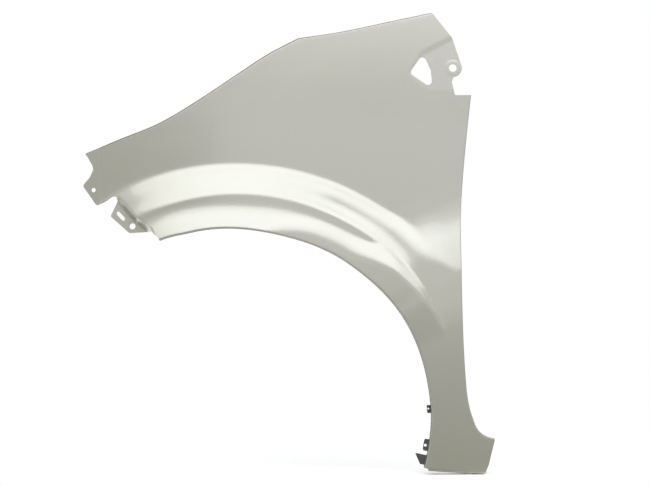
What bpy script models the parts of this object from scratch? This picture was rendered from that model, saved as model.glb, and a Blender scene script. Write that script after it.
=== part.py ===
"""Left front fender of a small hatchback: one drawn, flanged and pierced steel sheet.

The design plane is the car's side view, with x to the rear and z up from the wheel centre. Depth is
measured inboard (+Y) from the widest line of the body side. The sheet is drawn as a height field over
that plane, its edges are swept on as folded sections, and the whole is thickened inboard. At the end
everything is moved so that the origin is the middle of the seat on the bonnet side flange.
"""

import math

import bmesh
import bpy
from mathutils import Vector
from mathutils.geometry import delaunay_2d_cdt

MM = 0.001

# The wheel arch sets the scale: outline tables are drawn in units of which the arch radius has this many
ARCH_RADIUS = 345 * MM
DRAWN_ARCH_UNITS = 345
UNIT = ARCH_RADIUS / DRAWN_ARCH_UNITS

# Sheet, and how finely it is meshed
SHEET = 0.8 * MM
STATION_DEG = 3.0
EDGE_STEP = 20 * MM
FILL_STEP = 24 * MM
BAND_GAP = 5.5 * MM
FILL_GAP = 14 * MM
FILL_ROW = 0.87
LINE_CLEARANCE = 0.9
MESH_MARGIN_DEG = 12
HOLE_SIDES = 16
CORNER_SIDES = 3
CORNER_SHARE = 0.45
BEND_SIDES = 3
LUG_SIDES = 2
SAME = 0.01 * MM

# Crown of the body side: radii of its section and plan, and the lines from which they curve away
SIDE_CREST_Z = 100 * MM
SIDE_RADIUS_ABOVE = 2600 * MM
SIDE_RADIUS_BELOW = 1700 * MM
PLAN_CREST_X = 40 * MM
PLAN_RADIUS_FRONT = 700 * MM
PLAN_RADIUS_REAR = 5500 * MM

# Wheel arch, in rings about the wheel centre: lip, lip band, step band, flare band
ARCH_FOOT_DEG = -13.2
ARCH_FRONT_DEG = 112.8
ARCH_SHAPE = ((-13, -4.5), (5, -0.5), (32, 3.5), (55, -0.5), (75, -3.5), (103, 2), (113, 6))
LIP_BAND = 30 * MM
STEP_BAND = 31 * MM
FLARE_BAND = 51 * MM
LIP_SLOPE = 0.47
FLARE_HEIGHT = 30 * MM
LIP_BEND = 7 * MM
STEP_BEND = 6 * MM
FLARE_BEND = 9 * MM
LIP_FADE_DEG = (27, 82)
LIP_FADE_CURVE = 1.15
STEP_FADE_DEG = (49, 82)
FLARE_FADE_DEG = (28, 70)
SPREAD_FROM_DEG = 99
FLARE_SPREAD = 0.35 * MM
STEP_SPREAD = 0.9 * MM
SHOULDER_WIDTH = 96 * MM

# Where the lines of the arch end in front, in degrees, inside the edge of the blank
FLARE_LINE_END_DEG = 119
STEP_LINE_END_DEG = 117
VALLEY_LINE_END_DEG = 114
CREST_LINE_END_DEG = 78

# Corners of the outline, in units from the wheel centre
TIP = (-278, 480)
BONNET_FRONT = (TIP, (-214, 505), (-140, 534), (-68, 576), (4, 624), (54, 657), (108, 686))
BONNET_REAR = ((108, 686), (183, 697.5), (273, 717), (350, 734))
PILLAR_KNEE = (385.5, 687.5)
NOTCH = ((384, 607), (389.5, 583))
DOOR_EDGE = (
    (418.5, 583), (409, 502), (402, 430), (397, 358), (396.6, 290), (397.5, 217), (400.5, 129), (405.5, 59),
    (411, 27), (416, 11), (422.5, -6), (431, -16.5), (443, -23), (455.5, -26.3),
)
FOOT_BACK = ((455.5, -29), (445, -72.5), (439, -88))
FOOT_BOTTOM = ((436, -90), (338, -83.5))
LAMP_EDGE = ((-282.5, 421.5), (-269.5, 436.5), (-263, 450), (-264.3, 457), TIP)
TAB_CORNER = 4 * MM
PILLAR_CORNER = 6 * MM
NOTCH_CORNER = 3 * MM

# Front tabs, as degrees about the wheel centre and units outside the arch radius or the flare line
LOWER_TAB = ((114.0, 25), (120.0, 42.5), (122.0, 86), (118.8, 103), (118.5, 112))
UPPER_TAB = ((119.4, -2), (121.4, -3), (123.6, 0))

# Folds in front of the skin, and the planes of the tabs ahead of them
LAMP_FOLD = ((-251, 500), (-244, 375))
LAMP_PLANE = 124 * MM
LAMP_JOGGLE = 7 * MM
BUMPER_FOLD = ((-222, 411), (-179, 364), (-161, 350), (-151, 343.5), (-145, 329))
BUMPER_PLANE = 80 * MM
BUMPER_PLANE_AT = (-200, 360)
BUMPER_PLANE_SLOPE = (-0.2, 0.2)
BUMPER_JOGGLE = 9 * MM
AHEAD_OF_ALL = -400

# Recess under the pillar garnish, with its three-sided opening and the bolt ear
RECESS = ((329, 663), (303, 623), (337, 588), (440, 581), (470, 600), (470, 737))
RECESS_CORNER = 9 * MM
RECESS_DEPTH = 6 * MM
RECESS_STEP = 5 * MM
RECESS_AT = (360, 635)
GARNISH_OPENING = ((333, 659), (308, 623), (349, 594), (346.5, 628))
GARNISH_CORNER = 7 * MM
EAR_AT = (386, 632.5)
EAR_RADIUS = 16.5 * MM
EAR_ARC_DEG = (12, -85)
EAR_PAD = 12 * MM
EAR_RISE = 1.5 * MM
EAR_STEP = 2.5 * MM
EAR_HOLE = 7 * MM

# Holes of the front tabs, in units from the wheel centre, or placed as the tab itself is
UPPER_TAB_HOLE = (-262, 413.5)
UPPER_TAB_HOLE_RADIUS = 4 * MM
LOWER_TAB_HOLE = (118.41, 50.1)
LOWER_TAB_HOLE_RADIUS = 5.5 * MM
LOWER_TAB_SLOT = ((120.03, 83.5), (119.59, 70.1))
LOWER_TAB_SLOT_RADIUS = 3.2 * MM

# Folded edges: bend radii, flange widths, and headings in degrees, where 90 is straight inboard
LIP_RADIUS = 2 * MM
LIP_FLANGE = 17 * MM
LIP_FLANGE_DEG = 87
DOOR_RADIUS = 2 * MM
DOOR_FLANGE = 13 * MM
DOOR_FLANGE_DEG = 94
DOOR_TAB_Z = 340 * MM
DOOR_TAB_LENGTH = 44 * MM
DOOR_TAB_REACH = 18 * MM
FOOT_BACK_FLANGE = 8 * MM
FOOT_RADIUS = 4 * MM
FOOT_FLANGE = 18 * MM
ROLL_RADIUS_END = 1.5 * MM
ROLL_RADIUS_FRONT = 5 * MM
ROLL_RADIUS_REAR = 12 * MM
ROLL_DEG = 74
ROLL_RISE = 0.75
INBOARD_DEG = 90
CREST_RADIUS = 3 * MM
BONNET_WALL = 17 * MM
BONNET_WALL_DEG = 172
BONNET_FLANGE = 26 * MM
BONNET_FLANGE_X = (-236, 338)
FLANGE_CHAMFER = 12 * MM
FLANGE_END_SHARE = 0.3

# Lugs for the arch liner: angle of the middle about the wheel centre, half length, reach and hole radius
LUG_RADIUS = 1.5 * MM
UPPER_LUG = (4.3, 9.5 * MM, 5 * MM, 1.6 * MM)
LOWER_LUG = (-6.6, 12 * MM, 7 * MM, 2.4 * MM)
LUG_CORNER = 0.6
SILL_BRACKET_DEG = (-12.7, -9.5)
SILL_BRACKET_REACH = (15 * MM, 3 * MM)
SILL_BRACKET_TIP = 3 * MM
SILL_BRACKET_TIP_DEG = -55
LUG_SLACK_DEG = 0.25

# Bolt holes through the folded edges, in units along the car, or in degrees round the arch
BONNET_SEAT_X = 205
BONNET_HOLE = 4.5 * MM
BONNET_HOLES_X = (-185, -90, 20, 232, 312)
FOOT_HOLE = 4 * MM
FOOT_HOLES_X = (368, 412)
DOOR_HOLE = 4.5 * MM
LINER_HOLE = 3.5 * MM
LINER_HOLES_DEG = (101, 74, 47, 21)
HOLE_SHARE = 0.55
DRILL_LENGTH = 16 * MM

# Finish
PAINT = (0.50, 0.49, 0.45, 1.0)
PAINT_METALLIC = 0.6
PAINT_ROUGHNESS = 0.35
SHARP_DEG = 30


def placed(points):
    return [(x * UNIT, z * UNIT) for x, z in points]


def at(point):
    return point[0] * UNIT, point[1] * UNIT


def ringed(points, radius_at):
    """Places given as degrees about the wheel centre and units outside a ring of the arch."""
    return [polar(radius_at(deg) + out * UNIT, deg) for deg, out in points]


def polar(radius, deg):
    return radius * math.cos(math.radians(deg)), radius * math.sin(math.radians(deg))


def clamp(t):
    return min(max(t, 0.0), 1.0)


def ease(t):
    t = clamp(t)
    return t * t * (3 - 2 * t)


def hinge(u, width):
    """0 before the bend and u after it, with a round bend of that half width between."""
    if u <= -width:
        return 0.0
    if u >= width:
        return u
    return (u + width) ** 2 / (4 * width)


def between(table, place):
    """A value read off a short table of (place, value), eased from one entry to the next."""
    if place <= table[0][0]:
        return table[0][1]
    for (a, low), (b, high) in zip(table, table[1:]):
        if place <= b:
            return low + (high - low) * ease((place - a) / (b - a))
    return table[-1][1]


# Lines and loops in the design plane


def spline(points, step):
    """A smooth line through the points, with a point about every step."""
    padded = [points[0], *points, points[-1]]
    line = [points[0]]
    for a, b, c, d in zip(padded, padded[1:], padded[2:], padded[3:]):
        count = max(1, round(math.dist(b, c) / step))
        for k in range(1, count + 1):
            t = k / count
            line.append(tuple(curve_value(p, q, r, s, t) for p, q, r, s in zip(a, b, c, d)))
    return line


def curve_value(p, q, r, s, t):
    """One coordinate of the curve from q to r, between neighbours p and s."""
    slope = r - p
    bend = 2 * p - 5 * q + 4 * r - s
    twist = 3 * q - p - 3 * r + s
    return (2 * q + slope * t + bend * t**2 + twist * t**3) / 2


def arc(centre, radius, start_deg, end_deg, sides):
    turn = (end_deg - start_deg) / sides
    ring = []
    for k in range(sides + 1):
        dx, dz = polar(radius, start_deg + turn * k)
        ring.append((centre[0] + dx, centre[1] + dz))
    return ring


def circle(centre, radius):
    return arc(centre, radius, 0, 360, HOLE_SIDES)[:-1]


def slot(ends, radius):
    """A long hole between two centres."""
    (ax, az), (bx, bz) = ends
    deg = math.degrees(math.atan2(bz - az, bx - ax))
    half = HOLE_SIDES // 2
    far_end = arc(ends[1], radius, deg - 90, deg + 90, half)
    near_end = arc(ends[0], radius, deg + 90, deg + 270, half)
    return far_end + near_end


def rounded(corners, radius, is_loop=True):
    """The corners joined by straight lines, each corner cut back to an arc."""
    line = []
    count = len(corners)
    for k, corner in enumerate(corners):
        if not is_loop and k in (0, count - 1):
            line.append(corner)
            continue
        here = Vector(corner)
        back = Vector(corners[k - 1]) - here
        on = Vector(corners[(k + 1) % count]) - here
        half = back.angle(on) / 2
        cut = min(radius / math.tan(half), CORNER_SHARE * back.length, CORNER_SHARE * on.length)
        centre = here + (back.normalized() + on.normalized()).normalized() * (cut / math.cos(half))
        start = here + back.normalized() * cut - centre
        end = here + on.normalized() * cut - centre
        for i in range(CORNER_SIDES + 1):
            line.append(tuple(centre + start.slerp(end, i / CORNER_SIDES) * start.length))
    return line


def outward(line, k):
    """The unit normal at a point of a line, on the left of its run."""
    a = Vector(line[max(k - 1, 0)])
    b = Vector(line[min(k + 1, len(line) - 1)])
    run = (b - a).normalized()
    return Vector((-run.y, run.x))


def shifted(line, amount):
    """The line moved to the right of its run, by one amount or by a list of them."""
    by = amount if isinstance(amount, list) else [amount] * len(line)
    return [tuple(Vector(p) - outward(line, k) * by[k]) for k, p in enumerate(line)]


def gap_to(point, line):
    """The distance from a point to a line of points."""
    best = math.inf
    px, pz = point
    for (ax, az), (bx, bz) in zip(line, line[1:]):
        dx, dz = bx - ax, bz - az
        t = clamp(((px - ax) * dx + (pz - az) * dz) / max(dx * dx + dz * dz, SAME * SAME))
        best = min(best, math.hypot(px - ax - t * dx, pz - az - t * dz))
    return best


def inside(point, loop):
    x, z = point
    hit = False
    for (ax, az), (bx, bz) in zip(loop, loop[1:] + loop[:1]):
        if (az > z) != (bz > z) and x < ax + (bx - ax) * (z - az) / (bz - az):
            hit = not hit
    return hit


def with_marks(line, marks, axis):
    """The line with a point added wherever the coordinate on that axis equals a mark."""
    out = [line[0]]
    for a, b in zip(line, line[1:]):
        start, end = a[axis], b[axis]
        crossed = [mark for mark in marks if (start - mark) * (end - mark) < 0]
        shares = sorted((mark - start) / (end - start) for mark in crossed)
        out += [tuple(Vector(a).lerp(Vector(b), t)) for t in shares]
        out.append(b)
    return out


# Rings of the wheel arch


def plain_radius(deg):
    return ARCH_RADIUS


def lip_radius(deg):
    return ARCH_RADIUS + between(ARCH_SHAPE, deg) * UNIT


def crest_radius(deg):
    """Where the slope of the lip band ends: at the lip in front, rising to the step line behind."""
    start, end = LIP_FADE_DEG
    rise = clamp((end - deg) / (end - start)) ** LIP_FADE_CURVE
    return ARCH_RADIUS + (LIP_BAND + STEP_BAND) * rise


def valley_radius(deg):
    start, end = STEP_FADE_DEG
    spread = STEP_SPREAD * max(deg - SPREAD_FROM_DEG, 0)
    return ARCH_RADIUS + LIP_BAND + spread + STEP_BAND * ease((end - deg) / (end - start))


def step_radius(deg):
    return ARCH_RADIUS + LIP_BAND + STEP_BAND


def flare_radius(deg):
    return step_radius(deg) + FLARE_BAND + FLARE_SPREAD * max(deg - SPREAD_FROM_DEG, 0)


# Depth of the drawn sheet


def crown(x, z):
    """The plain body side, curved in section and in plan."""
    side = SIDE_RADIUS_ABOVE if z > SIDE_CREST_Z else SIDE_RADIUS_BELOW
    plan = PLAN_RADIUS_FRONT if x < PLAN_CREST_X else PLAN_RADIUS_REAR
    return (z - SIDE_CREST_Z) ** 2 / (2 * side) + (x - PLAN_CREST_X) ** 2 / (2 * plan)


def flare(x, z):
    """How far the panel lies inboard of its step band, at any distance from the lip."""
    radius = math.hypot(x, z)
    deg = math.degrees(math.atan2(z, x))
    start, end = FLARE_FADE_DEG
    share = ease((deg - start) / (end - start))
    lip = hinge(valley_radius(deg) - radius, STEP_BEND) - hinge(crest_radius(deg) - radius, LIP_BEND)
    foot, top = step_radius(deg), flare_radius(deg)
    ramp = (hinge(radius - foot, FLARE_BEND) - hinge(radius - top, FLARE_BEND)) / (top - foot)
    shoulder = ease((radius - top) / SHOULDER_WIDTH)
    return FLARE_HEIGHT * (share * ramp + (1 - share) * shoulder) - LIP_SLOPE * lip


def body_side(x, z):
    return crown(x, z) + flare(x, z)


def recess_plane(x, z):
    """The plane that touches the body side at the middle of the recess, moved inboard."""
    cx, cz = at(RECESS_AT)
    slope_x = (cx - PLAN_CREST_X) / PLAN_RADIUS_REAR
    slope_z = (cz - SIDE_CREST_Z) / SIDE_RADIUS_ABOVE
    return body_side(cx, cz) + RECESS_DEPTH + slope_x * (x - cx) + slope_z * (z - cz)


def bumper_plane(x, z):
    (x0, z0), (slope_x, slope_z) = at(BUMPER_PLANE_AT), BUMPER_PLANE_SLOPE
    return BUMPER_PLANE + slope_x * (x - x0) + slope_z * (z - z0)


def closed(line):
    return [*line, line[0]]


class Skin:
    """Depth of the drawn sheet at any point of the design plane."""

    def __init__(self):
        self.recess = rounded(placed(RECESS), RECESS_CORNER)
        self.lamp = placed(LAMP_FOLD)
        self.bumper = placed(BUMPER_FOLD)

    def past(self, point, fold):
        """How far a point lies ahead of a fold line, or 0 behind it."""
        ahead = AHEAD_OF_ALL * UNIT
        region = [*fold, (ahead, fold[-1][1]), (ahead, fold[0][1])]
        return gap_to(point, fold) if inside(point, region) else 0.0

    def depth(self, x, z):
        y = body_side(x, z)
        point = (x, z)
        if math.hypot(x, z) > flare_radius(math.degrees(math.atan2(z, x))) - FLARE_BEND:
            y += (LAMP_PLANE - y) * clamp(self.past(point, self.lamp) / LAMP_JOGGLE)
        else:
            y += (bumper_plane(x, z) - y) * clamp(self.past(point, self.bumper) / BUMPER_JOGGLE)
        if inside(point, self.recess):
            y += (recess_plane(x, z) - y) * clamp(gap_to(point, closed(self.recess)) / RECESS_STEP)
            y -= EAR_RISE * clamp((EAR_PAD + EAR_STEP - math.dist(point, at(EAR_AT))) / EAR_STEP)
        return y

    def slope_deg(self, point, normal):
        """The heading of the skin as it reaches its edge: 0 in the design plane, 90 inboard."""
        x, z = point
        back = EDGE_STEP / 4
        rise = self.depth(x, z) - self.depth(x - normal.x * back, z - normal.y * back)
        return math.degrees(math.atan2(rise, back))


# Outline of the blank before its edges are folded


def lug_degs():
    """Angles round the lip where a lug or the sill bracket begins, ends or turns its corner."""
    degs = list(SILL_BRACKET_DEG)
    for middle, half, _, _ in (UPPER_LUG, LOWER_LUG):
        half_deg = math.degrees(half / ARCH_RADIUS)
        degs += [middle + side * half_deg for side in (-1, -LUG_CORNER, LUG_CORNER, 1)]
    return degs


def lip_line():
    """The arch lip from the foot to the front, with a point at every mark of the lugs."""
    marks = sorted([*lug_degs(), ARCH_FOOT_DEG, ARCH_FRONT_DEG])
    degs = [marks[0]]
    for a, b in zip(marks, marks[1:]):
        count = max(1, math.ceil((b - a) / STATION_DEG))
        degs += [a + (b - a) * k / count for k in range(1, count + 1)]
    return [polar(lip_radius(deg), deg) for deg in degs]


def roll_radius(x):
    """The bonnet edge rolls over tightly in front and softly behind, and fades at both ends."""
    start, middle, end = (corner[0] for corner in placed((TIP, BONNET_REAR[0], BONNET_REAR[-1])))
    wide = ease((x - middle) / (2 * EDGE_STEP) + 0.5)
    size = ROLL_RADIUS_FRONT + (ROLL_RADIUS_REAR - ROLL_RADIUS_FRONT) * wide
    fade = min(ease((x - start) / (2 * EDGE_STEP)), ease((end - x) / EDGE_STEP))
    return ROLL_RADIUS_END + (size - ROLL_RADIUS_END) * fade


def edge_lines():
    """The skin's edges where a fold begins, each a bend's width inside the finished silhouette."""
    bonnet = spline(placed(BONNET_FRONT), EDGE_STEP) + spline(placed(BONNET_REAR), EDGE_STEP)[1:]
    bonnet = with_marks(bonnet, at(BONNET_FLANGE_X), 0)
    door = with_marks(spline(placed(DOOR_EDGE), EDGE_STEP), door_tab_heights(), 1)
    bottom = spline(placed(FOOT_BOTTOM), EDGE_STEP)
    return {
        "bonnet": shifted(bonnet, [ROLL_RISE * roll_radius(x) for x, _ in bonnet]),
        "door": shifted(door, DOOR_RADIUS),
        "back": shifted(placed(FOOT_BACK), DOOR_RADIUS),
        "bottom": shifted(bottom, FOOT_RADIUS),
        "lip": shifted(lip_line(), LIP_RADIUS),
    }


def door_tab_heights():
    half = DOOR_TAB_LENGTH / 2
    return [DOOR_TAB_Z + side * half for side in (-1, -LUG_CORNER, LUG_CORNER, 1)]


def outline(edges):
    """The whole edge of the blank, clockwise from the foot of the arch lip."""
    lower = ringed(LOWER_TAB, plain_radius)
    upper = ringed(UPPER_TAB, flare_radius)
    tabs = [edges["lip"][-1], *lower, *upper, *placed(LAMP_EDGE), edges["bonnet"][0]]
    front = rounded(tabs, TAB_CORNER, False)
    ear = arc(at(EAR_AT), EAR_RADIUS, *EAR_ARC_DEG, HOLE_SIDES // 2)
    pillar = rounded([edges["bonnet"][-1], *placed([PILLAR_KNEE]), ear[0]], PILLAR_CORNER, False)
    notch = rounded([ear[-1], *placed(NOTCH), edges["door"][0]], NOTCH_CORNER, False)
    lines = [edges["lip"], front, edges["bonnet"], pillar, ear, notch]
    lines += [edges["door"], edges["back"], edges["bottom"]]
    loop = []
    for line in lines:
        loop += [p for p in line if not loop or math.dist(p, loop[-1]) > SAME]
    return loop


def pierced():
    """The openings that are punched through the drawn sheet."""
    return [
        rounded(placed(GARNISH_OPENING), GARNISH_CORNER),
        circle(at(EAR_AT), EAR_HOLE),
        circle(at(UPPER_TAB_HOLE), UPPER_TAB_HOLE_RADIUS),
        circle(*ringed([LOWER_TAB_HOLE], plain_radius), LOWER_TAB_HOLE_RADIUS),
        slot(ringed(LOWER_TAB_SLOT, plain_radius), LOWER_TAB_SLOT_RADIUS),
    ]


# Style lines and fill points


def stations():
    """Angles round the arch at which its mesh has rows of points, with a margin at both ends."""
    start = ARCH_FOOT_DEG - MESH_MARGIN_DEG
    count = round((ARCH_FRONT_DEG + MESH_MARGIN_DEG - start) / STATION_DEG)
    return [start + STATION_DEG * k for k in range(count + 1)]


def ring_line(radius_at, start_deg, end_deg):
    return [polar(radius_at(deg), deg) for deg in stations() if start_deg <= deg <= end_deg]


def style_lines(skin):
    """Lines that the mesh has to follow: creases, folds and steps."""
    inward = -math.copysign(RECESS_STEP, turns_left(skin.recess))
    return [
        ring_line(flare_radius, FLARE_FADE_DEG[0], FLARE_LINE_END_DEG),
        ring_line(step_radius, LIP_FADE_DEG[0], STEP_LINE_END_DEG),
        ring_line(valley_radius, STEP_FADE_DEG[0], VALLEY_LINE_END_DEG),
        ring_line(crest_radius, LIP_FADE_DEG[0], CREST_LINE_END_DEG),
        skin.lamp,
        shifted(skin.lamp, LAMP_JOGGLE),
        skin.bumper,
        shifted(skin.bumper, BUMPER_JOGGLE),
        closed(skin.recess),
        closed(shifted(skin.recess, inward)),
        closed(circle(at(EAR_AT), EAR_PAD)),
        closed(circle(at(EAR_AT), EAR_PAD + EAR_STEP)),
    ]


def turns_left(loop):
    """Twice the signed area of a loop: positive where it runs anticlockwise."""
    return sum(ax * bz - bx * az for (ax, az), (bx, bz) in zip(loop, loop[1:] + loop[:1]))


def band_points():
    """Rows of points across the wheel arch, at every station, on both sides of each bend."""
    points = []
    for deg in stations():
        lip, crest = lip_radius(deg), crest_radius(deg)
        valley, step, top = valley_radius(deg), step_radius(deg), flare_radius(deg)
        rows = [crest - LIP_BEND, crest + LIP_BEND, valley - STEP_BEND, valley + STEP_BEND]
        rows += [step - FLARE_BEND, step + FLARE_BEND, top - FLARE_BEND, top + FLARE_BEND]
        rows += [(lip + crest) / 2, (step + top) / 2, top + SHOULDER_WIDTH / 3]
        points += [polar(radius, deg) for radius in rows if radius > lip]
    return points


def field_points(loop):
    """Rings of points over the rest of the panel, at an even spacing."""
    points = []
    reach = max(math.hypot(x, z) for x, z in loop)
    radius = flare_radius(0) + SHOULDER_WIDTH / 3 + FILL_STEP
    turned = False
    while radius < reach:
        step_deg = math.degrees(FILL_STEP / radius)
        deg = ARCH_FOOT_DEG - MESH_MARGIN_DEG + (step_deg / 2 if turned else 0)
        while deg < ARCH_FRONT_DEG + MESH_MARGIN_DEG:
            points.append(polar(radius, deg))
            deg += step_deg
        radius += FILL_STEP * FILL_ROW
        turned = not turned
    return points


def spaced(points, kept, gap):
    """Those of the points that keep a gap to each other and to the ones that are kept anyway."""
    cells = {}

    def cell(p):
        return math.floor(p[0] / gap), math.floor(p[1] / gap)

    def near(p):
        i, j = cell(p)
        around = [q for a in (-1, 0, 1) for b in (-1, 0, 1) for q in cells.get((i + a, j + b), [])]
        return any(math.dist(p, q) < gap for q in around)

    for p in kept:
        cells.setdefault(cell(p), []).append(p)
    chosen = []
    for p in points:
        if not near(p):
            cells.setdefault(cell(p), []).append(p)
            chosen.append(p)
    return chosen


def fill_points(loop, holes, lines):
    """Free points of the mesh, clear of the outline, the holes and the style lines."""
    fixed = [closed(loop), *(closed(hole) for hole in holes), *lines]
    corners = [p for line in fixed for p in line]
    out = []
    for points, gap in ((band_points(), BAND_GAP), (field_points(loop), FILL_GAP)):
        clear = gap * LINE_CLEARANCE
        within = [p for p in points if inside(p, loop)]
        free = [p for p in within if min(gap_to(p, line) for line in fixed) > clear]
        out += spaced(free, corners + out, gap)
    return out


# The sheet as a mesh


def draw_skin(bm, skin, edges):
    """Triangles over the blank, lifted to the depth of the skin."""
    loop, holes, lines = outline(edges), pierced(), style_lines(skin)
    points, links = [], []
    for line in [closed(loop), *(closed(hole) for hole in holes), *lines]:
        first = len(points)
        points += line
        links += [(first + k, first + k + 1) for k in range(len(line) - 1)]
    points += fill_points(loop, holes, lines)
    flat = [Vector((x / MM, z / MM)) for x, z in points]
    places, _, faces, _, _, _ = delaunay_2d_cdt(flat, links, [], 0, SAME / MM / 10)
    places = [(p.x * MM, p.y * MM) for p in places]
    verts = {}
    for face in faces:
        middle = tuple(sum(places[k][axis] for k in face) / len(face) for axis in (0, 1))
        if not inside(middle, loop) or any(inside(middle, hole) for hole in holes):
            continue
        for k in face:
            if k not in verts:
                x, z = places[k]
                verts[k] = bm.verts.new((x, skin.depth(x, z), z))
        bm.faces.new([verts[k] for k in face])


def edge_verts(bm, line):
    """The mesh's own edge points along a line, in the order of its run."""
    found = []
    for vert in bm.verts:
        if vert.is_boundary:
            point = (vert.co.x, vert.co.z)
            if gap_to(point, line) < SAME:
                found.append((run_at(point, line), vert))
    return [vert for _, vert in sorted(found, key=lambda pair: pair[0])]


def run_at(point, line):
    """How far along a line a point on it lies."""
    run = 0.0
    for a, b in zip(line, line[1:]):
        if gap_to(point, [a, b]) < SAME:
            return run + math.dist(a, point)
        run += math.dist(a, b)
    return run


def section(start_deg, moves):
    """Points (outward, inboard) of a folded section of bends (radius, heading, sides) and runs (length,)."""
    out, inboard, heading = 0.0, 0.0, math.radians(start_deg)
    points = []
    for move in moves:
        if len(move) == 1:
            out += move[0] * math.cos(heading)
            inboard += move[0] * math.sin(heading)
            points.append((out, inboard))
            continue
        radius, target, sides = move
        turn = (math.radians(target) - heading) / sides
        signed = math.copysign(radius, turn)
        for _ in range(sides):
            out += signed * (math.sin(heading + turn) - math.sin(heading))
            inboard += signed * (math.cos(heading) - math.cos(heading + turn))
            heading += turn
            points.append((out, inboard))
    return points


def sweep(bm, verts, normals, sections):
    """Strips of faces from a row of edge points, through one folded section for each of them."""
    rows = [verts]
    for level in range(len(sections[0])):
        row = []
        for vert, normal, points in zip(verts, normals, sections):
            out, inboard = points[level]
            row.append(bm.verts.new(vert.co + Vector((normal.x * out, inboard, normal.y * out))))
        rows.append(row)
    for row, after in zip(rows, rows[1:]):
        for a, b, c, d in zip(row, row[1:], after[1:], after):
            bm.faces.new((a, b, c, d))
    return rows


def edge_normals(verts):
    line = [(vert.co.x, vert.co.z) for vert in verts]
    return [outward(line, k) for k in range(len(line))]


def end_fade(verts, chamfer):
    """1 along a row of points, falling to the end share within a chamfer of either end."""
    run = [0.0]
    for a, b in zip(verts, verts[1:]):
        run.append(run[-1] + (b.co - a.co).length)
    shares = [min(place, run[-1] - place) / chamfer for place in run]
    return [clamp(FLANGE_END_SHARE + (1 - FLANGE_END_SHARE) * share) for share in shares]


def fold_lip(bm, skin, line):
    """The return flange of the wheel arch, with the liner lugs and the sill bracket on its inner edge."""
    verts = edge_verts(bm, line)
    normals = edge_normals(verts)
    sections = []
    for vert, normal in zip(verts, normals):
        start = skin.slope_deg((vert.co.x, vert.co.z), normal)
        sections.append(section(start, [(LIP_RADIUS, LIP_FLANGE_DEG, BEND_SIDES), (LIP_FLANGE,)]))
    rows = sweep(bm, verts, normals, sections)
    for middle, half, reach, _ in (UPPER_LUG, LOWER_LUG):
        fold_lug(bm, rows, normals, middle, half, reach)
    fold_bracket(bm, rows, normals)
    return rows


def deg_of(vert):
    return math.degrees(math.atan2(vert.co.z, vert.co.x))


def lip_span(rows, low, top):
    """Numbers of the lip's stations between two angles about the wheel centre."""
    degs = [deg_of(vert) for vert in rows[0]]
    return [k for k, deg in enumerate(degs) if low - LUG_SLACK_DEG < deg < top + LUG_SLACK_DEG]


def fold_lug(bm, rows, normals, middle, half, reach):
    """A lug turned off the flange, parallel to the body side, with its corners cut back."""
    half_deg = math.degrees(half / ARCH_RADIUS)
    span = lip_span(rows, middle - half_deg, middle + half_deg)
    sections = []
    for k in span:
        full = abs(deg_of(rows[0][k]) - middle) < half_deg * LUG_CORNER + LUG_SLACK_DEG
        run = reach if full else reach / 2
        sections.append(section(LIP_FLANGE_DEG, [(LUG_RADIUS, 0, LUG_SIDES), (run,)]))
    sweep(bm, [rows[-1][k] for k in span], [normals[k] for k in span], sections)


def fold_bracket(bm, rows, normals):
    """The sill bracket, wide at its top and narrow at its foot, with its edge turned outboard."""
    low, top = SILL_BRACKET_DEG
    wide, narrow = SILL_BRACKET_REACH
    span = lip_span(rows, low, top)
    sections = []
    for k in span:
        share = clamp((deg_of(rows[0][k]) - low) / (top - low))
        moves = [(LUG_RADIUS, 0, LUG_SIDES), (narrow + (wide - narrow) * share,)]
        moves += [(LUG_RADIUS, SILL_BRACKET_TIP_DEG, LUG_SIDES), (SILL_BRACKET_TIP * share + SHEET,)]
        sections.append(section(LIP_FLANGE_DEG, moves))
    sweep(bm, [rows[-1][k] for k in span], [normals[k] for k in span], sections)


def fold_bonnet(bm, skin, line):
    """The rolled bonnet edge, and behind it the wall and the bolt flange."""
    verts = edge_verts(bm, line)
    normals = edge_normals(verts)
    sections = []
    for vert, normal in zip(verts, normals):
        start = skin.slope_deg((vert.co.x, vert.co.z), normal)
        sections.append(section(start, [(roll_radius(vert.co.x), ROLL_DEG, BEND_SIDES)]))
    crest = sweep(bm, verts, normals, sections)[-1]
    start, end = at(BONNET_FLANGE_X)
    picked = [k for k, vert in enumerate(verts) if start - SAME < vert.co.x < end + SAME]
    crest = [crest[k] for k in picked]
    normals = [normals[k] for k in picked]
    sections = []
    for fade in end_fade(crest, FLANGE_CHAMFER):
        moves = [(CREST_RADIUS, BONNET_WALL_DEG, BEND_SIDES), (BONNET_WALL,)]
        moves += [(CREST_RADIUS, INBOARD_DEG, LUG_SIDES), (BONNET_FLANGE * fade,)]
        sections.append(section(ROLL_DEG, moves))
    return sweep(bm, crest, normals, sections)


def fold_door(bm, skin, line):
    """The door edge turned inboard, with the bolt tab for the hinge pillar."""
    verts = edge_verts(bm, line)
    normals = edge_normals(verts)
    sections = []
    for vert, normal, fade in zip(verts, normals, end_fade(verts, FLANGE_CHAMFER)):
        start = skin.slope_deg((vert.co.x, vert.co.z), normal)
        moves = [(DOOR_RADIUS, DOOR_FLANGE_DEG, LUG_SIDES), (DOOR_FLANGE * fade,)]
        sections.append(section(start, moves))
    rows = sweep(bm, verts, normals, sections)
    low, low_corner, top_corner, top = door_tab_heights()
    picked = [k for k, vert in enumerate(verts) if low - SAME < vert.co.z < top + SAME]
    sections = []
    for k in picked:
        full = low_corner - SAME < verts[k].co.z < top_corner + SAME
        reach = DOOR_TAB_REACH if full else DOOR_TAB_REACH / 2
        sections.append(section(DOOR_FLANGE_DEG, [(reach,)]))
    return sweep(bm, [rows[-1][k] for k in picked], [normals[k] for k in picked], sections)


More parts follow.
